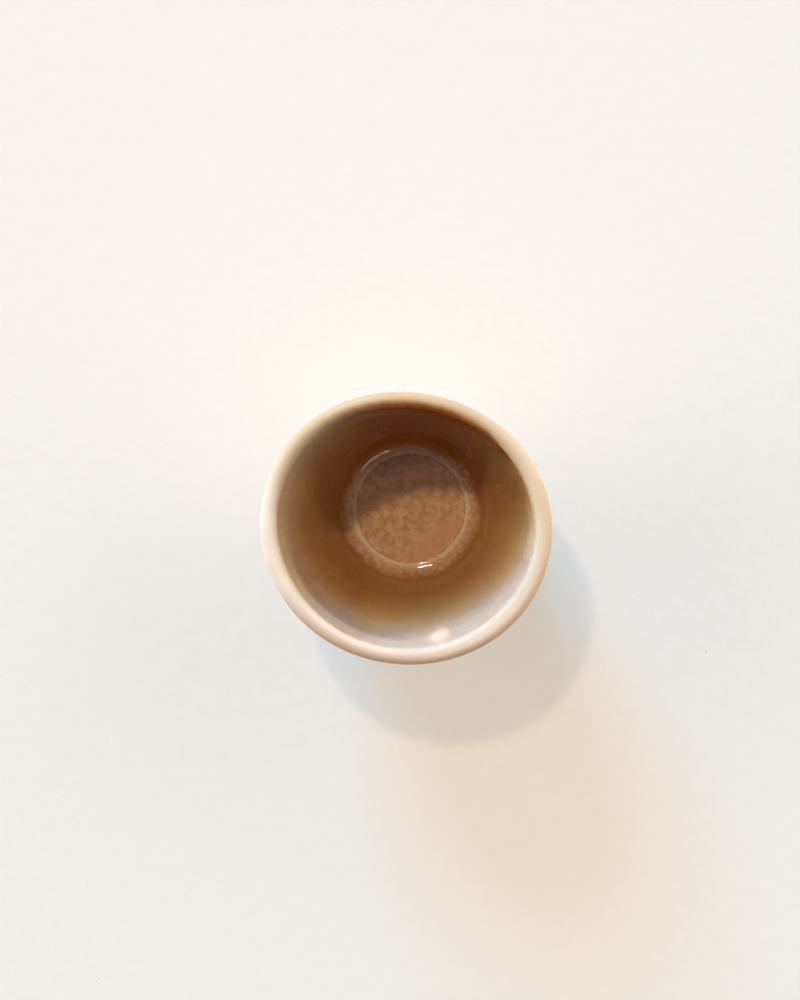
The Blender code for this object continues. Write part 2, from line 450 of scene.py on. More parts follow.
def line_at(turn):
    """Where the outside coat ends at a turn: it ran a little further here and there."""
    wave = drift(turn, 0.0, *LINE_NOISE) + LINE_FINE * drift(turn, 0.0, *LINE_FINE_NOISE)
    return GLAZE_LINE + LINE_WAVE * wave


def coat_row(share, front):
    """Row of the outside coat, from the rim's coat at share 0 to the uneven edge at 1."""
    def at(turn):
        distance = RIM_START + (line_at(turn) - RIM_START) * share
        if not front:
            return *outside(distance, BACK), outer_run(distance), 0.0
        past = (distance - line_at(turn)) / BEAD_WIDTH
        fill = math.sqrt(max(0.0, 1 - (1 - min(past, 1.0)) ** 2))
        bead = BEAD_RISE * math.exp(-((past - BEAD_CREST) / BEAD_SPREAD) ** 2)
        return outer_front(distance, turn, BACK * (1 - fill) - bead * fill)
    return at


def make_outer():
    length = RIM_START - GLAZE_LINE
    edge = 1 - BEAD_REACH / length
    shares = steps(0.0, edge, STEP / length) + steps(edge, 1.0, BEAD_STEP / length)[1:]
    rows = [coat_row(s, True) for s in shares]
    rows += [coat_row(s, False) for s in reversed(shares[:-1])]
    return solid("outer_glaze_coat", rows, True)


def make_body():
    distances = steps(0.0, CORNER_LENGTH, STEP)
    distances += steps(CORNER_LENGTH, CURVE_LENGTH, BODY_STRIDE * STEP)[1:]
    underside = steps(0.0, -FLOOR_RADIUS + POLE, TRIM_STEP)
    rows = [inner_row(-FLOOR_RADIUS + BODY_POLE, None, COAT)]
    rows += [inner_row(d, None, COAT) for d in distances]
    rows += [lip_row(s, COAT) for s in lip_shares()]
    rows += [outer_row(d, None, COAT) for d in reversed(distances[1:])]
    rows += [outer_row(d, trim_relief, COAT) for d in underside]
    return solid("stoneware_body_clay", rows, False)


# Foot ring: worn edges, a hollow in its side, and a top that follows the clay
FOOT_EDGE = 0.0005
FOOT_HOLLOW = 0.00018
FOOT_CLEAR = 0.00003  # how far its top stays off the clay
FOOT_WANDER = 0.004  # share of the radius
FOOT_NOISE = (0.009, 41.0)


def heel_height(radius):
    """Height just under the clay, over a radius of the foot ring."""
    past = max(radius - FLOOR_RADIUS, 0.0)
    return CORNER_CENTRE[1] - math.sqrt((HEEL_RADIUS + FOOT_CLEAR) ** 2 - past ** 2)


def foot_outline():
    """Section of the foot ring, as (radius, height), from its lower edge outside, up and around."""
    inner = FOOT_RADIUS - FOOT_WIDTH
    outline = []
    for turn in steps(-math.pi / 2, 0.0, FOOT_TURN):
        outline.append((FOOT_RADIUS + FOOT_EDGE * (math.cos(turn) - 1), FOOT_EDGE * (1 + math.sin(turn))))
    top = heel_height(FOOT_RADIUS)
    for height in steps(FOOT_EDGE, top, FOOT_STEP)[1:-1]:
        hollow = FOOT_HOLLOW * math.sin(math.pi * (height - FOOT_EDGE) / (top - FOOT_EDGE))
        outline.append((FOOT_RADIUS - hollow, height))
    for radius in steps(FOOT_RADIUS, inner, STEP):
        outline.append((radius, heel_height(radius)))
    for turn in steps(math.pi, 1.5 * math.pi, FOOT_TURN):
        outline.append((inner + FOOT_EDGE * (1 + math.cos(turn)), FOOT_EDGE * (1 + math.sin(turn))))
    return outline


def foot_row(point):
    """Row of the foot ring, a little out of round."""
    def at(turn):
        scale = 1 + FOOT_WANDER * drift(turn, point[1], *FOOT_NOISE)
        return point[0] * scale, point[1], 0.0, 0.0
    return at


def make_foot():
    return solid("foot_ring_clay", [foot_row(point) for point in foot_outline()], True)


class Tree:
    """Short names for the nodes of one material."""

    def __init__(self, name):
        self.material = bpy.data.materials.new(name)
        self.material.use_nodes = True
        self.tree = self.material.node_tree
        self.shader = self.tree.nodes["Principled BSDF"]

    def add(self, kind, inputs=None, **settings):
        return add(self.tree, kind, inputs, **settings)

    def math(self, operation, first, second=0.0):
        return self.add("ShaderNodeMath", {0: first, 1: second}, operation=operation).outputs[0]

    def times(self, first, second):
        return self.math("MULTIPLY", first, second)

    def vector(self, operation, first, second=(0.0, 0.0, 0.0)):
        node = self.add("ShaderNodeVectorMath", {0: first, 1: second}, operation=operation)
        return node.outputs["Value" if operation == "DOT_PRODUCT" else "Vector"]

    def tint(self, colour, by):
        """A colour times a colour or a brightness."""
        return self.vector("MULTIPLY", colour, by)

    def step(self, value, low, high):
        return smooth_step(self.tree, value, low, high)

    def span(self, value, low, high):
        """The value from 0 to 1 taken to low to high."""
        node = self.add("ShaderNodeMapRange", {"Value": value, "To Min": low, "To Max": high})
        return node.outputs["Result"]

    def mix(self, factor, first, second):
        return mix(self.tree, factor, first, second)

    def ramp(self, value, low, high, stops):
        """Colour along a value from low to high; stops are (value, colour)."""
        place = self.add("ShaderNodeMapRange", {"Value": value, "From Min": low, "From Max": high})
        node = self.add("ShaderNodeValToRGB", {"Fac": place.outputs["Result"]})
        marks = node.color_ramp.elements
        while len(marks) < len(stops):
            marks.new(0.5)
        for mark, (at, colour) in zip(marks, stops):
            mark.position = (at - low) / (high - low)
            mark.color = colour + (1.0,)
        return node.outputs["Color"]

    def noise(self, place, scale, detail):
        node = self.add("ShaderNodeTexNoise", {"Vector": place, "Scale": scale, "Detail": detail})
        return node.outputs["Fac"]

    def specks(self, place, pattern, where=None):
        """Round specks on a share of the cells of a scattered pattern, all over or where a value is 1."""
        scale, radius, share, strength = pattern
        cells = self.add("ShaderNodeTexVoronoi", {"Vector": place, "Scale": scale})
        near = self.step(cells.outputs["Distance"], radius, 0.5 * radius)
        pick = self.add("ShaderNodeSeparateColor", {"Color": cells.outputs["Color"]}).outputs[0]
        specks = self.times(near, self.math("LESS_THAN", pick, share))
        if where:
            specks = self.times(specks, where)
        return self.times(specks, strength)

    def bump(self, height, distance):
        node = self.add("ShaderNodeBump", {"Height": height, "Distance": distance})
        self.tree.links.new(node.outputs["Normal"], self.shader.inputs["Normal"])

    def finish(self, colour, roughness):
        self.tree.links.new(colour, self.shader.inputs["Base Color"])
        self.tree.links.new(roughness, self.shader.inputs["Roughness"])
        return self.material


def add(tree, kind, inputs=None, **settings):
    """New node with its settings; an input is given a value or linked to a socket."""
    node = tree.nodes.new(kind)
    for key, value in settings.items():
        setattr(node, key, value)
    for key, value in (inputs or {}).items():
        if isinstance(value, bpy.types.NodeSocket):
            tree.links.new(value, node.inputs[key])
        else:
            node.inputs[key].default_value = value
    return node


def mix(tree, factor, first, second):
    """Blend of two colours; a colour is a socket or (red, green, blue)."""
    node = add(tree, "ShaderNodeMix", data_type="RGBA")
    for index, value in ((0, factor), (6, first), (7, second)):
        if isinstance(value, bpy.types.NodeSocket):
            tree.links.new(value, node.inputs[index])
        else:
            node.inputs[index].default_value = value if index == 0 else value + (1.0,)
    return node.outputs[2]


def smooth_step(tree, value, low, high):
    """Smooth step from 0 where the value is low to 1 where it is high."""
    node = add(tree, "ShaderNodeMapRange", {"Value": value, "From Min": low, "From Max": high},
               interpolation_type="SMOOTHSTEP")
    return node.outputs["Result"]


def heading(degrees):
    """Direction across the table, by degrees around from +X."""
    turn = math.radians(degrees)
    return math.cos(turn), math.sin(turn), 0.0


# Runs along the glazed surface, in millimetres from the floor's edge
RUN_RIM = MM * RIM_START
RUN_LIP = MM * CURVE_LENGTH
RUN_CREST = RUN_LIP + MM * LIP_LENGTH * (0.5 - WALL_FLARE_TOP / math.pi)
RUN_OUTSIDE = RUN_LIP + MM * LIP_LENGTH
RUN_END = outer_run(GLAZE_LINE)

# Sides of the cup, each with the cosines from it between which its look sets in
LIT_SIDE = heading(-60.0)  # the cream reaches furthest down the inside on this lit side, partly as glaze and partly as painted light
PALE_EDGE = (0.40, 0.72)
PALE_CLIMB = 24.0  # millimetres by which it ends sooner away from its side
# The side away from the light, where the brown is painted shade, darker and redder
PAINTED_SHADE_SIDE = (heading(60.0), (0.2, 0.95))
TIDE_SIDE = (heading(-128.0), (0.72, 0.92))
WARM_SIDE = (heading(20.0), (0.75, 0.98))
# Side where the milky ring is painted fainter, which is painted shade
RING_SHADE_SIDE = (heading(97.0), (0.4, 0.9))
BACK_SIDE = heading(100.0)  # the lip's cream is thinnest here
BACK_STARTS = (0.1, 1.0)  # it starts further up
BACK_THIN = (0.2, 0.9)  # it is thin
BACK_TURNED = (0.5, 0.95)  # the brown is darker where it turns over the lip
DEEP_LIP_EDGE = (0.82, 0.97)
DEEP_LIP_SIDES = (  # where the lip's cream goes deeper, and by how many millimetres
    (heading(12.0), 2.8),
    (heading(-152.0), 1.2),
)

# Colours, linear
WHITE = (1.0, 1.0, 1.0)
CREAM = (0.79, 0.68, 0.55)
CREAM_WARM = (0.80, 0.635, 0.455)
# painted light on the lip's outer edge at the left
CREAM_PAINTED_LIGHT = (0.92, 0.815, 0.685)
# painted shade on the lip's outer edge in front
CREAM_PAINTED_SHADE = (0.78, 0.59, 0.44)
CREAM_FRONT = (0.86, 0.67, 0.50)
# painted shade that dulls the inner edge of the lip in front
CREAM_INNER_PAINTED_SHADE = (0.70, 0.61, 0.515)
CREAM_THIN = (0.53, 0.35, 0.18)
OATMEAL = (0.56, 0.445, 0.325)
OATMEAL_WARM = (0.57, 0.425, 0.29)
FLOOR_TAN = (0.86, 0.595, 0.293)
FLOOR_DARK = (0.62, 0.40, 0.178)
FLOOR_PINK = (0.82, 0.50, 0.275)
FLOOR_BEHIND = (0.6, 0.45, 0.3)  # tint where the floor lies deepest in shade
FLECK = (0.95, 0.76, 0.47)
IRON = (0.16, 0.075, 0.03)
MILKY = (0.97, 0.83, 0.66)
MILKY_THIN = (0.88, 0.675, 0.48)
CLAY = (0.56, 0.42, 0.285)
CLAY_DARK = (0.40, 0.27, 0.165)
CLAY_FLASH = (0.50, 0.30, 0.165)
TABLE = (0.885, 0.87, 0.845)
TABLE_PALE = (1.0, 0.95, 0.87, 1.0)
TABLE_SPECK = (0.42, 0.38, 0.34)

# Colours of the wall along the run: most of it, the side away from the light in painted shade, and the lit
# side in pale cream that is partly glaze and partly painted light
WALL_PLAIN = (
    (4.0, (0.52, 0.26, 0.075)),
    (11.0, (0.45, 0.215, 0.052)),
    (27.0, (0.39, 0.19, 0.055)),
    (36.0, (0.405, 0.238, 0.114)),
    (43.0, (0.43, 0.292, 0.178)),
    (50.0, (0.55, 0.435, 0.31)),
    (54.0, (0.57, 0.46, 0.335)),
)
WALL_PAINTED_SHADE = (
    (4.0, (0.39, 0.15, 0.032)),
    (14.0, (0.345, 0.11, 0.018)),
    (36.0, (0.325, 0.092, 0.012)),
    (46.0, (0.30, 0.092, 0.012)),
    (52.0, (0.36, 0.13, 0.022)),
)
WALL_PALE_AND_LIT = (
    (4.0, (0.52, 0.28, 0.08)),
    (26.0, (0.52, 0.29, 0.10)),
    (35.5, (0.59, 0.365, 0.187)),
    (42.0, (0.67, 0.515, 0.375)),
    (46.5, (0.73, 0.635, 0.52)),
)

# Patches of painted light and painted shade on the wall: degrees around, cosines from there, the run over
# which they set in, and tint
PAINTED_LIGHT_PATCHES = (
    (22.0, (0.75, 0.95), (12.0, 26.0), (1.0, 1.28, 1.25)),
    (27.0, (0.945, 0.99), (18.0, 32.0), (0.69, 0.69, 0.71)),
    (8.0, (0.9, 0.98), (45.0, 50.0), (1.4, 1.35, 1.35)),
    (22.0, (0.9, 0.97), (16.0, 8.0), (1.15, 1.15, 1.15)),
    (-112.0, (0.9, 0.98), (28.0, 36.0), (1.0, 1.06, 1.25)),
    (-112.0, (0.9, 0.98), (47.0, 52.0), (1.0, 0.95, 0.8)),
    (105.0, (0.9, 0.97), (20.0, 30.0), (1.2, 1.18, 1.15)),
    (146.0, (0.88, 0.98), (16.0, 26.0), (1.18, 1.16, 1.1)),
    (85.0, (0.85, 0.95), (36.0, 45.0), (1.12, 1.07, 1.0)),
    (125.0, (0.93, 0.985), (16.0, 6.0), (0.9, 0.8, 0.85)),
    (75.0, (0.9, 0.97), (46.0, 51.0), (1.2, 1.18, 1.14)),
)

# Edges of the lip: degrees around, cosines from there, where the edge sets in from the crest, and colour;
# the pale edge at the left is painted light, the tan outer edge and the duller inner edge in front are
# painted shade
LIP_EDGES = (
    (165.0, (0.3, 0.9), (-2.2, 0.4), CREAM_PAINTED_LIGHT),
    (-108.0, (0.7, 0.95), (-1.3, 0.3), CREAM_PAINTED_SHADE),
    (-42.0, (0.5, 0.9), (-0.6, 1.0), CREAM_FRONT),
    (-58.0, (0.5, 0.9), (0.2, -1.2), CREAM_INNER_PAINTED_SHADE),
)

# Noises: features per millimetre, and detail
FLOOR_BLUSH = (0.2, 2.0)
FLOOR_CURLS = (0.6, 1.0)
WALL_BLOTCH = (0.3, 5.0)
VEIL_FRAY = (0.9, 2.0)
CREAM_CLOUD = (0.12, 5.0)
GLOSS_VARIES = (0.35, 3.0)
PEEL_WIDE = (0.45, 1.0)
PEEL_FINE = (3.0, 1.0)
CLAY_MOTTLE = (0.5, 5.0)
CLAY_SAND = (2.2, 4.0)
TABLE_GRAIN = (0.28, 5.0)

# Blotches: such a noise, and its values between which the blotches set in
FLOOR_MOTTLE = (0.55, 5.0, 0.36, 0.64)
FLOOR_CURLED = (0.33, 2.0, 0.45, 0.6)
VEIL_BROKEN = (0.8, 3.0, 0.38, 0.6)
OATMEAL_BLUSH = (0.035, 2.0, 0.35, 0.65)
LIP_BLUSH = (0.22, 3.0, 0.45, 0.7)

# Streaks: features per radian around the cup and per millimetre of the run
WALL_STREAKS = (18.0, 0.05)
RING_BREAKS = (5.0, 0.0)
VEIL_STREAKS = (14.0, 0.6)
CREAM_STREAKS = (9.0, 0.012)

# Ragged borders: such streaks, and how many millimetres they shift the border in all
WALL_RAGGED = (2.5, 0.02, 5.0)
RING_INNER = (9.0, 0.0, 0.9)
RING_OUTER = (7.0, 0.2, 1.2)
VEIL_RAGGED = (3.5, 0.2, 4.4)
VEIL_STROKES = (15.0, 0.3, 1.8)
LIP_RAGGED = (14.0, 0.1, 0.9)
VEIL_FRAY_REACH = 2.2

# Specks: cells per millimetre, radius as a share of a cell, share of the cells that have one, and strength
FLOOR_SPECKS = (0.7, 0.2, 0.2, 0.6)
WALL_SPECKS = (0.6, 0.14, 0.25, 0.4)
IRON_FINE = (0.42, 0.1, 0.4, 0.6)
IRON_HALO = (0.17, 0.115, 0.35, 0.35)
IRON_SPOTS = (0.17, 0.06, 0.35, 0.75)
CLAY_IRON = (1.3, 0.24, 0.4, 0.6)
CLAY_GRIT = (1.7, 0.22, 0.3, 0.5)
TABLE_SPECKS = (0.06, 0.022, 0.5, 0.6)

# Strengths of looks
PINK = 0.75
CURLS = 0.55
BLUSH = 0.7
HOLLOWS_PALE = 0.3
RIDGES_WORN = 0.35
FOOT_THIN = 0.7
LIP_OUTSIDE_THIN = 0.75
LIP_TURNED_TONE = 0.7
FLASH = 0.7

# Brightness or strength that a noise gives: lowest and highest
WALL_STREAK_TONES = (0.90, 1.10)
WALL_BLOTCH_TONES = (0.86, 1.14)
RING_BREAK_TONES = (0.7, 1.5)
VEIL_STREAK_TONES = (0.25, 1.35)
VEIL_BROKEN_TONES = (0.6, 1.0)
CREAM_CLOUD_TONES = (0.92, 1.07)
CREAM_STREAK_TONES = (0.96, 1.04)
TABLE_TONES = (0.97, 1.03)

# Where parts of the inside set in, in millimetres: across the floor, or along the run
PINK_ACROSS = (2.0, 12.0)
PINK_EDGE = (0.5, 1.3)  # of the sum with its noise
CURL_WIDTH = 0.11  # of its noise
BEHIND_ACROSS = (7.5, 12.5)
RING_START = (0.0, 0.22)
RING_END = (1.6, 0.6)
VEIL_START = (0.1, 0.3)
VEIL_END = (5.5, 2.1)
RING_IN_PAINTED_SHADE = 0.33  # strength of ring and veil on their shaded side, which is painted shade

# Finish
GLOSS = (0.03, 0.07)  # roughness of the inside
SATIN = (0.20, 0.34)  # roughness of the lip and the outside
SHINE = (0.5, 0.14)  # strength of the reflections, inside and outside
PEEL = (0.00004, 0.000008)  # depth of the orange peel in metres, inside and outside
PEEL_FINE_SHARE = 0.12
CLAY_ROUGH = (0.75, 0.95)
CLAY_SAND_DEPTH = 0.00012
TABLE_ROUGH = (0.7, 0.85)
TABLE_GRAIN_DEPTH = 0.00012
TABLE_PALE_SHARE = 0.33  # how much of the table shows its pale colour, whatever the light


class Glaze(Tree):
    """Tree of a glaze, with places to measure by: millimetres, the run and the way around."""

    def __init__(self, name):
        super().__init__(name)
        point = self.add("ShaderNodeTexCoord").outputs["Object"]
        self.place = self.vector("MULTIPLY", point, (MM, MM, MM))
        self.run = self.add("ShaderNodeAttribute", attribute_name="run").outputs["Fac"]
        self.relief = self.add("ShaderNodeAttribute", attribute_name="relief").outputs["Fac"]
        self.around = self.vector("NORMALIZE", self.vector("MULTIPLY", point, (1.0, 1.0, 0.0)))

    def toward(self, side):
        """Cosine from a side of the cup."""
        return self.vector("DOT_PRODUCT", self.around, side)

    def near(self, side, edge):
        """Smooth step of that cosine."""
        return self.step(self.toward(side), *edge)

    def grain(self, pattern):
        return self.noise(self.place, *pattern)

    def blotches(self, pattern):
        scale, detail, low, high = pattern
        return self.step(self.noise(self.place, scale, detail), low, high)

    def streaks(self, around, along):
        """Noise drawn out along the run: scales around the cup and along it."""
        flat = self.vector("MULTIPLY", self.around, (around, around, 0.0))
        rise = self.add("ShaderNodeCombineXYZ", {2: self.times(self.run, along)}).outputs[0]
        return self.noise(self.vector("ADD", flat, rise), 1.0, 3.0)

    def shift(self, run, value, reach):
        """A run that a noise moves by half the reach either way."""
        return self.math("ADD", run, self.times(self.math("SUBTRACT", value, 0.5), reach))

    def ragged(self, run, pattern):
        """A run that streaks move to and fro."""
        around, along, reach = pattern
        return self.shift(run, self.streaks(around, along), reach)


def floor_colour(glaze):
    """Speckled tan: mottled, pinker on one side, with curly light flecks and a few dark specks."""
    colour = glaze.mix(glaze.blotches(FLOOR_MOTTLE), FLOOR_DARK, FLOOR_TAN)
    across = glaze.vector("DOT_PRODUCT", glaze.place, LIT_SIDE)
    pink = glaze.math("ADD", glaze.step(across, *PINK_ACROSS), glaze.grain(FLOOR_BLUSH))
    colour = glaze.mix(glaze.times(glaze.step(pink, *PINK_EDGE), PINK), colour, FLOOR_PINK)
    curl = glaze.math("ABSOLUTE", glaze.math("SUBTRACT", glaze.grain(FLOOR_CURLS), 0.5))
    worms = glaze.times(glaze.step(curl, CURL_WIDTH, 0.0), glaze.blotches(FLOOR_CURLED))
    colour = glaze.mix(glaze.times(worms, CURLS), colour, FLECK)
    behind = glaze.step(glaze.vector("DOT_PRODUCT", glaze.place, BACK_SIDE), *BEHIND_ACROSS)
    colour = glaze.tint(colour, glaze.mix(behind, WHITE, FLOOR_BEHIND))
    return glaze.mix(glaze.specks(glaze.place, FLOOR_SPECKS), colour, IRON)


def wall_colour(glaze):
    """Brown, thinning to tan towards the lip, with painted shade on the side away from the light and pale
    cream, partly glaze and partly painted light, on the lit side.
    """
    run = glaze.ragged(glaze.run, WALL_RAGGED)
    plain = glaze.ramp(run, 0.0, RUN_LIP, WALL_PLAIN)
    painted_shade = glaze.ramp(run, 0.0, RUN_LIP, WALL_PAINTED_SHADE)
    lower = glaze.times(glaze.math("SUBTRACT", 1.0, glaze.toward(LIT_SIDE)), PALE_CLIMB)
    pale = glaze.ramp(glaze.math("SUBTRACT", run, lower), 0.0, RUN_LIP, WALL_PALE_AND_LIT)
    # painted shade on the side away from the light, then pale cream and painted light on the lit side
    colour = glaze.mix(glaze.near(*PAINTED_SHADE_SIDE), plain, painted_shade)
    colour = glaze.mix(glaze.near(LIT_SIDE, PALE_EDGE), colour, pale)
    fine = glaze.times(glaze.span(glaze.streaks(*WALL_STREAKS), *WALL_STREAK_TONES), tide_band(glaze))
    fine = glaze.times(fine, glaze.span(glaze.grain(WALL_BLOTCH), *WALL_BLOTCH_TONES))
    # patches of painted light and painted shade
    colour = wall_painted_light(glaze, glaze.tint(colour, fine))
    return glaze.mix(glaze.specks(glaze.place, WALL_SPECKS), colour, IRON)


def wall_painted_light(glaze, colour):
    """Soft patches of painted light and painted shade that lighten or darken the wall on some sides, several
    also shifting its hue.
    """
    for degrees, edge, sets_in, tint in PAINTED_LIGHT_PATCHES:
        amount = glaze.times(glaze.near(heading(degrees), edge), glaze.step(glaze.run, *sets_in))
        colour = glaze.tint(colour, glaze.mix(amount, WHITE, tint))
    return colour


TIDE_RUN = RUN_LIP - 9.0
TIDE_SHADE = 0.74


def tide_band(glaze):
    """Brightness of a darker band on one side, under the line where the cream's dip ended."""
    fade = glaze.step(glaze.run, TIDE_RUN - 8.6, TIDE_RUN - 0.6)
    line = glaze.step(glaze.run, TIDE_RUN + 2.9, TIDE_RUN + 0.2)
    return glaze.span(glaze.times(glaze.near(*TIDE_SIDE), glaze.times(fade, line)), 1.0, TIDE_SHADE)


def ring_amount(glaze):
    """The milky ring and veil are fainter on their shaded side, which is painted shade."""
    return glaze.span(glaze.near(*RING_SHADE_SIDE), 1.0, RING_IN_PAINTED_SHADE)


def ring_band(glaze):
    """Crisp milky band where the pooled glaze meets the floor."""
    inner = glaze.step(glaze.ragged(glaze.run, RING_INNER), *RING_START)
    outer = glaze.step(glaze.ragged(glaze.run, RING_OUTER), *RING_END)
    breaks = glaze.span(glaze.streaks(*RING_BREAKS), *RING_BREAK_TONES)
    return glaze.times(glaze.times(glaze.times(inner, outer), breaks), ring_amount(glaze))


def ring_veil(glaze):
    """Thin milky veil above the band, in patches of short strokes up the corner."""
    reach = glaze.ragged(glaze.ragged(glaze.run, VEIL_RAGGED), VEIL_STROKES)
    reach = glaze.shift(reach, glaze.grain(VEIL_FRAY), VEIL_FRAY_REACH)
    veil = glaze.times(glaze.step(glaze.run, *VEIL_START), glaze.step(reach, *VEIL_END))
    veil = glaze.times(veil, glaze.span(glaze.streaks(*VEIL_STREAKS), *VEIL_STREAK_TONES))
    veil = glaze.times(veil, glaze.span(glaze.blotches(VEIL_BROKEN), *VEIL_BROKEN_TONES))
    return glaze.times(veil, ring_amount(glaze))


def inside_colour(glaze):
    """Colour of the whole inside, so that its coats meet without a seam."""
    base = glaze.mix(glaze.step(glaze.run, -0.05, 0.3), floor_colour(glaze), wall_colour(glaze))
    return glaze.mix(ring_band(glaze), glaze.mix(ring_veil(glaze), base, MILKY_THIN), MILKY)


HOLLOW_MICRONS = -110.0  # relief at which the hollows are palest
RIDGE_MICRONS = 120.0  # and at which the ridges are most worn


def cream_colour(glaze):
    """Cream on the lip, oatmeal down the outside, paler in hollows and tan where thin, with iron spots."""
    oatmeal = glaze.mix(glaze.blotches(OATMEAL_BLUSH), OATMEAL, OATMEAL_WARM)
    below = glaze.step(glaze.run, RUN_OUTSIDE - 1.0, RUN_OUTSIDE + 5.0)
    cloud = glaze.times(glaze.span(glaze.grain(CREAM_CLOUD), *CREAM_CLOUD_TONES),
                        glaze.span(glaze.streaks(*CREAM_STREAKS), *CREAM_STREAK_TONES))
    colour = glaze.tint(glaze.mix(below, lip_colour(glaze), oatmeal), cloud)
    hollows = glaze.times(glaze.step(glaze.relief, 0.0, HOLLOW_MICRONS), HOLLOWS_PALE)
    colour = glaze.mix(hollows, colour, CREAM)
    colour = glaze.mix(thin_amount(glaze), colour, CREAM_THIN)
    return iron_spots(glaze, colour, below)


def lip_colour(glaze):
    """Cream, warmer on one side, with a warmer edge at the front right, painted light on its outer edge at
    the left, and painted shade on its edges in front, tan outside and duller inside.
    """
    blush = glaze.times(glaze.blotches(LIP_BLUSH), BLUSH)
    colour = glaze.mix(glaze.math("MAXIMUM", blush, glaze.near(*WARM_SIDE)), CREAM, CREAM_WARM)
    for degrees, side_edge, (start, end), tone in LIP_EDGES:
        edge = glaze.step(glaze.run, RUN_CREST + start, RUN_CREST + end)
        colour = glaze.mix(glaze.times(edge, glaze.near(heading(degrees), side_edge)), colour, tone)
    return colour


def thin_amount(glaze):
    """Where the cream is thin: at the foot, at the back of the lip and on the ridges."""
    foot = glaze.times(glaze.step(glaze.run, RUN_END - 3.5, RUN_END - 0.2), FOOT_THIN)
    inner = glaze.span(glaze.step(glaze.run, RUN_CREST - 0.6, RUN_CREST + 1.4), 1.0, LIP_OUTSIDE_THIN)
    upper = glaze.times(inner, glaze.step(glaze.run, RUN_OUTSIDE + 6.0, RUN_OUTSIDE))
    back = glaze.times(upper, glaze.near(BACK_SIDE, BACK_THIN))
    ridges = glaze.times(glaze.step(glaze.relief, 0.0, RIDGE_MICRONS), RIDGES_WORN)
    return glaze.math("MAXIMUM", glaze.math("MAXIMUM", foot, back), ridges)


def iron_spots(glaze, colour, where):
    """Iron burning through the glaze: fine specks, and larger spots with a soft halo."""
    for pattern, tone in ((IRON_FINE, IRON), (IRON_HALO, CREAM_THIN), (IRON_SPOTS, IRON)):
        colour = glaze.mix(glaze.specks(glaze.place, pattern, where), colour, tone)
    return colour


LIP_BACK_SHIFT = 2.0  # how far up the lip the cream starts at the back


def lip_amount(glaze):
    """Where the cream starts at the lip: at its inner edge, further up at the back, deeper on two sides."""
    back = glaze.times(glaze.near(BACK_SIDE, BACK_STARTS), LIP_BACK_SHIFT)
    along = glaze.math("SUBTRACT", glaze.ragged(glaze.run, LIP_RAGGED), back)
    for side, depth in DEEP_LIP_SIDES:
        along = glaze.math("ADD", along, glaze.times(glaze.near(side, DEEP_LIP_EDGE), depth))
    return glaze.step(along, RUN_LIP - 0.7, RUN_LIP + 0.9)


def glaze_finish(glaze, colour, satin=None):
    """Gloss, duller where satin is given, with slight variation and the orange peel of a fired glaze."""
    low, high = GLOSS
    peel = PEEL[0]
    shine = glaze.shader.inputs["Specular IOR Level"]
    shine.default_value = SHINE[0]
    if satin:
        low = glaze.span(satin, low, SATIN[0])
        high = glaze.span(satin, high, SATIN[1])
        peel = glaze.span(satin, *PEEL)
        glaze.tree.links.new(glaze.span(satin, *SHINE), shine)
    fine = glaze.times(glaze.grain(PEEL_FINE), PEEL_FINE_SHARE)
    glaze.bump(glaze.math("ADD", glaze.grain(PEEL_WIDE), fine), peel)
    return glaze.finish(colour, glaze.span(glaze.grain(GLOSS_VARIES), low, high))


def inside_material(name):
    glaze = Glaze(name)
    return glaze_finish(glaze, inside_colour(glaze))


def rim_material(name):
    """The wall's colours up to the lip, and the cream from there on."""
    glaze = Glaze(name)
    lip = lip_amount(glaze)
    turned = glaze.step(glaze.run, RUN_LIP - 0.3, RUN_LIP + 0.9)
    turned = glaze.times(glaze.near(BACK_SIDE, BACK_TURNED), turned)
    wall = glaze.tint(wall_colour(glaze), glaze.span(turned, 1.0, LIP_TURNED_TONE))
    satin = glaze.math("MAXIMUM", lip, glaze.step(glaze.run, RUN_RIM, RUN_LIP + 0.6))
    return glaze_finish(glaze, glaze.mix(lip, wall, cream_colour(glaze)), satin)


def clay_material(name):
    """Bare sandy stoneware, flashed darker beside the glaze."""
    clay = Glaze(name)
    mottle = clay.grain(CLAY_MOTTLE)
    colour = clay.mix(clay.step(mottle, 0.15, 0.62), CLAY_DARK, CLAY)
    flash = clay.step(clay.run, RUN_END + 1.2, RUN_END - 0.2)
    colour = clay.mix(clay.times(flash, FLASH), colour, CLAY_FLASH)
    colour = clay.mix(clay.specks(clay.place, CLAY_IRON), colour, IRON)
    colour = clay.mix(clay.specks(clay.place, CLAY_GRIT), colour, CREAM)
    clay.bump(clay.grain(CLAY_SAND), CLAY_SAND_DEPTH)
    return clay.finish(colour, clay.span(mottle, *CLAY_ROUGH))


def table_material(name):
    """Pale matt board with a faint grain and a few specks, paler to the eye than to the light it returns."""
    board = Tree(name)
    point = board.add("ShaderNodeTexCoord").outputs["Object"]
    place = board.vector("MULTIPLY", point, (MM, MM, MM))
    grain = board.noise(place, *TABLE_GRAIN)
    colour = board.tint(TABLE, board.span(grain, *TABLE_TONES))
    colour = board.mix(board.specks(place, TABLE_SPECKS), colour, TABLE_SPECK)
    board.bump(grain, TABLE_GRAIN_DEPTH)
    made = board.finish(colour, board.span(grain, *TABLE_ROUGH))
    pale = board.add("ShaderNodeEmission", {"Color": TABLE_PALE})
    share = board.times(plain_rays(board.tree), TABLE_PALE_SHARE)
    blend = board.add("ShaderNodeMixShader", {0: share, 1: board.shader.outputs[0], 2: pale.outputs[0]})
    board.tree.links.new(blend.outputs[0], board.tree.nodes["Material Output"].inputs["Surface"])
    return made


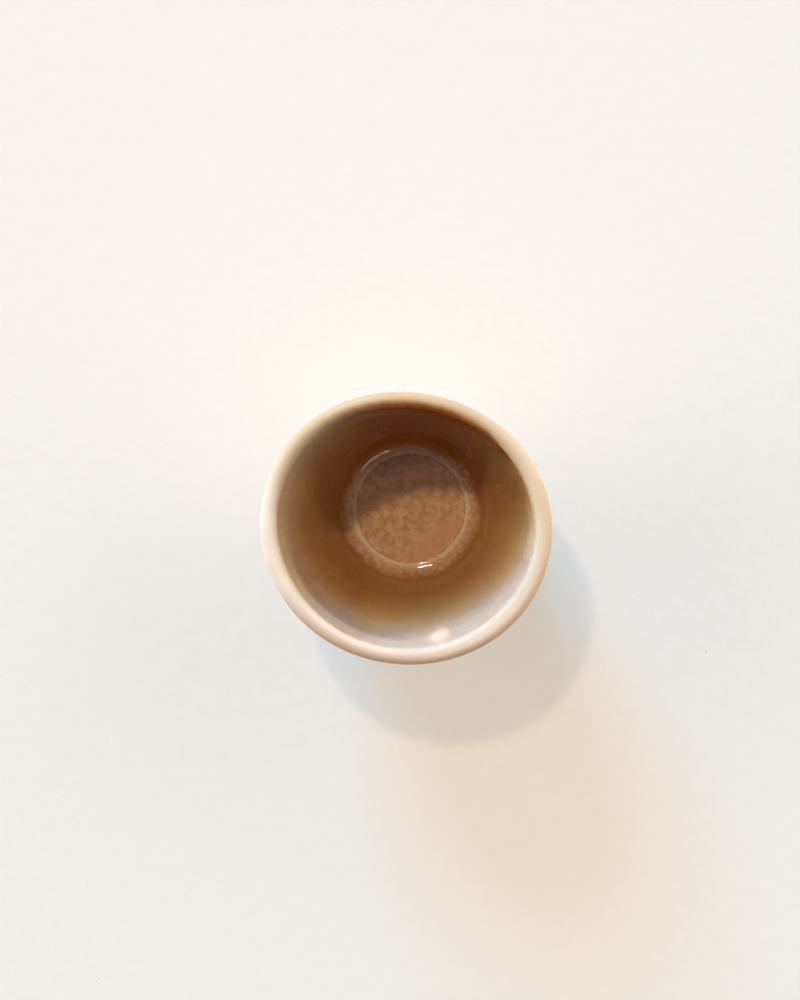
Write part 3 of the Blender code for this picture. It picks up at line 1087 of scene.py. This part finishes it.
def plain_rays(tree):
    """1 for the rays that show the background: those from the camera, mirrored or passing through."""
    path = add(tree, "ShaderNodeLightPath").outputs
    mirrored = add(tree, "ShaderNodeMath", {0: path["Is Glossy Ray"], 1: path["Is Transmission Ray"]},
                   operation="MAXIMUM")
    return add(tree, "ShaderNodeMath", {0: path["Is Camera Ray"], 1: mirrored.outputs[0]},
               operation="MAXIMUM").outputs[0]


def dress(piece, made, node):
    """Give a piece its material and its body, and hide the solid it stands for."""
    piece.data.materials.append(made)
    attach(piece, "root")
    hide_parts(node)


def make_cup():
    cream = rim_material("cream_glaze")
    clay = clay_material("stoneware")
    dress(make_floor(), inside_material("floor_glaze"), "floor_glaze")
    dress(make_pool(), inside_material("pooled_glaze"), "pooled_glaze_ring")
    dress(make_liner(), inside_material("liner_glaze"), "liner_glaze")
    dress(make_rim(), cream, "rim_glaze")
    dress(make_outer(), cream, "outer_glaze")
    dress(make_body(), clay, "stoneware_body")
    dress(make_foot(), clay, "foot_ring")


TABLE_HALF = 4.0
TABLE_LEVEL = -0.00002  # just under the foot


def make_table():
    half = TABLE_HALF
    mesh = bpy.data.meshes.new("table")
    corners = [(-half, -half), (half, -half), (half, half), (-half, half)]
    mesh.from_pydata([(x, y, TABLE_LEVEL) for x, y in corners], [], [(0, 1, 2, 3)])
    mesh.materials.append(table_material("table"))
    table = bpy.data.objects.new("table", mesh)
    bpy.context.scene.collection.objects.link(table)


def aim(thing, place, target, up):
    """Put a lamp or camera at a place, looking at a target with the given way up."""
    back = (Vector(place) - Vector(target)).normalized()
    right = Vector(up).cross(back).normalized()
    top = back.cross(right)
    thing.matrix_world = Matrix((
        (right.x, top.x, back.x, place[0]),
        (right.y, top.y, back.y, place[1]),
        (right.z, top.z, back.z, place[2]),
        (0.0, 0.0, 0.0, 1.0),
    ))


def toward(azimuth, elevation):
    """Direction from the cup, by degrees around from +X and up."""
    turn = math.radians(azimuth)
    rise = math.radians(elevation)
    return Vector((math.cos(rise) * math.cos(turn), math.cos(rise) * math.sin(turn), math.sin(rise)))


def add_light(name, kind, power, level):
    """Light of a kind; power is what a white table needs, and level its colour on that table."""
    light = bpy.data.lights.new(name, kind)
    peak = max(level)
    light.energy = power * peak
    light.color = [channel / peak for channel in level]
    thing = bpy.data.objects.new(name, light)
    bpy.context.scene.collection.objects.link(thing)
    return thing


def lamp(name, azimuth, elevation, distance, size, level):
    """Area lamp seen from the cup in a direction."""
    power = (math.pi * distance) ** 2 / math.sin(math.radians(elevation))
    thing = add_light(name, "AREA", power, level)
    thing.data.shape = "RECTANGLE"
    thing.data.size, thing.data.size_y = size
    aim(thing, toward(azimuth, elevation) * distance, (0.0, 0.0, HEIGHT / 2), (0.0, 0.0, 1.0))


def soft_sun(name, azimuth, elevation, spread, level):
    """Broad light without falloff from a side of the room."""
    thing = add_light(name, "SUN", math.pi / math.sin(math.radians(elevation)), level)
    thing.data.angle = math.radians(spread)
    aim(thing, toward(azimuth, elevation), (0.0, 0.0, 0.0), (0.0, 0.0, 1.0))


# The room: light comes from the side that is up in the photograph, and the other side is darker
ROOM_TOWARD = heading(102.0)
ROOM_EDGE = (-0.17, 0.26)  # from dark to bright, as cosine from that direction
ROOM_BRIGHT = (1.74, 1.42, 1.10)
ROOM_DARK = (0.16, 0.135, 0.11)
CEILING = 0.03  # share of that light that is left overhead
CEILING_EDGE = (0.55, 0.85)  # where the ceiling starts, as sine of the elevation
BACKDROP = (0.93, 0.90, 0.86)
BACKDROP_TOP = (0.50, 0.47, 0.43)


def make_room():
    """World that lights the cup from one half of the room, and a plain backdrop to be seen and mirrored."""
    world = bpy.data.worlds.new("room")
    bpy.context.scene.world = world
    world.use_nodes = True
    tree = world.node_tree
    direction = add(tree, "ShaderNodeTexCoord").outputs["Generated"]
    side = add(tree, "ShaderNodeVectorMath", {0: direction, 1: ROOM_TOWARD}, operation="DOT_PRODUCT")
    bright = smooth_step(tree, side.outputs["Value"], *ROOM_EDGE)
    height = add(tree, "ShaderNodeSeparateXYZ", {0: direction}).outputs["Z"]
    overhead = smooth_step(tree, height, *CEILING_EDGE)
    room = tree.nodes["Background"]
    walls = mix(tree, bright, ROOM_DARK, ROOM_BRIGHT)
    dim = add(tree, "ShaderNodeMapRange", {"Value": overhead, "To Min": 1.0, "To Max": CEILING})
    shaded = add(tree, "ShaderNodeVectorMath", {0: walls, 1: dim.outputs["Result"]}, operation="MULTIPLY")
    tree.links.new(shaded.outputs["Vector"], room.inputs["Color"])
    seen = add(tree, "ShaderNodeBackground", {"Color": mix(tree, overhead, BACKDROP, BACKDROP_TOP)})
    blend = add(tree, "ShaderNodeMixShader", {0: plain_rays(tree), 1: room.outputs[0], 2: seen.outputs[0]})
    tree.links.new(blend.outputs[0], tree.nodes["World Output"].inputs["Surface"])


# Lamps: degrees around and up, and distance; a level is the colour on a white table
KEY_PLACE = (110.7, 64.9, 1.2)
KEY_SIZE = (0.085, 0.070)
KEY_LEVEL = (0.163, 0.115, 0.076)
KEY_HEART_SIZE = (0.020, 0.020)  # the bright middle of the key
KEY_HEART_LEVEL = (0.077, 0.054, 0.036)

# Broad lights: name, degrees around, up and spread, and level
SUNS = (
    ("window", 112.0, 29.0, 24.0, (0.062, 0.228, 0.405)),
    ("left_side", 172.0, 24.0, 60.0, (0.104, 0.091, 0.072)),
    ("right_side", 16.0, 24.0, 60.0, (0.100, 0.086, 0.067)),
)


def make_lights():
    lamp("key", *KEY_PLACE, KEY_SIZE, KEY_LEVEL)
    lamp("key_heart", *KEY_PLACE, KEY_HEART_SIZE, KEY_HEART_LEVEL)
    for sun in SUNS:
        soft_sun(*sun)
    make_room()


# Camera, from where the rim and the floor lie in the photograph
IMAGE = (800, 1000)
RIM_PIXEL = (405.0, 528.0)
RIM_SCALE = 4526.0  # pixels per metre across the mouth
CAMERA_RISE = 0.570  # height over the lip
CAMERA_SHIFT = (0.0149, 0.0511)  # sideways from the axis
SENSOR = 36.0
CLIP = (0.01, 20.0)


def make_camera():
    data = bpy.data.cameras.new("camera")
    camera = bpy.data.objects.new("camera", data)
    bpy.context.scene.collection.objects.link(camera)
    place = (CAMERA_SHIFT[0], CAMERA_SHIFT[1], HEIGHT + CAMERA_RISE)
    target = (
        (IMAGE[0] / 2 - RIM_PIXEL[0]) / RIM_SCALE,
        (RIM_PIXEL[1] - IMAGE[1] / 2) / RIM_SCALE,
        HEIGHT,
    )
    aim(camera, place, target, (0.0, 1.0, 0.0))
    data.sensor_fit = "HORIZONTAL"
    data.sensor_width = SENSOR
    data.lens = RIM_SCALE * math.dist(place, (0.0, 0.0, HEIGHT)) / IMAGE[0] * SENSOR
    data.clip_start, data.clip_end = CLIP
    bpy.context.scene.camera = camera


def main():
    bpy.context.scene.view_settings.view_transform = "Standard"
    make_cup()
    make_table()
    make_lights()
    make_camera()


main()
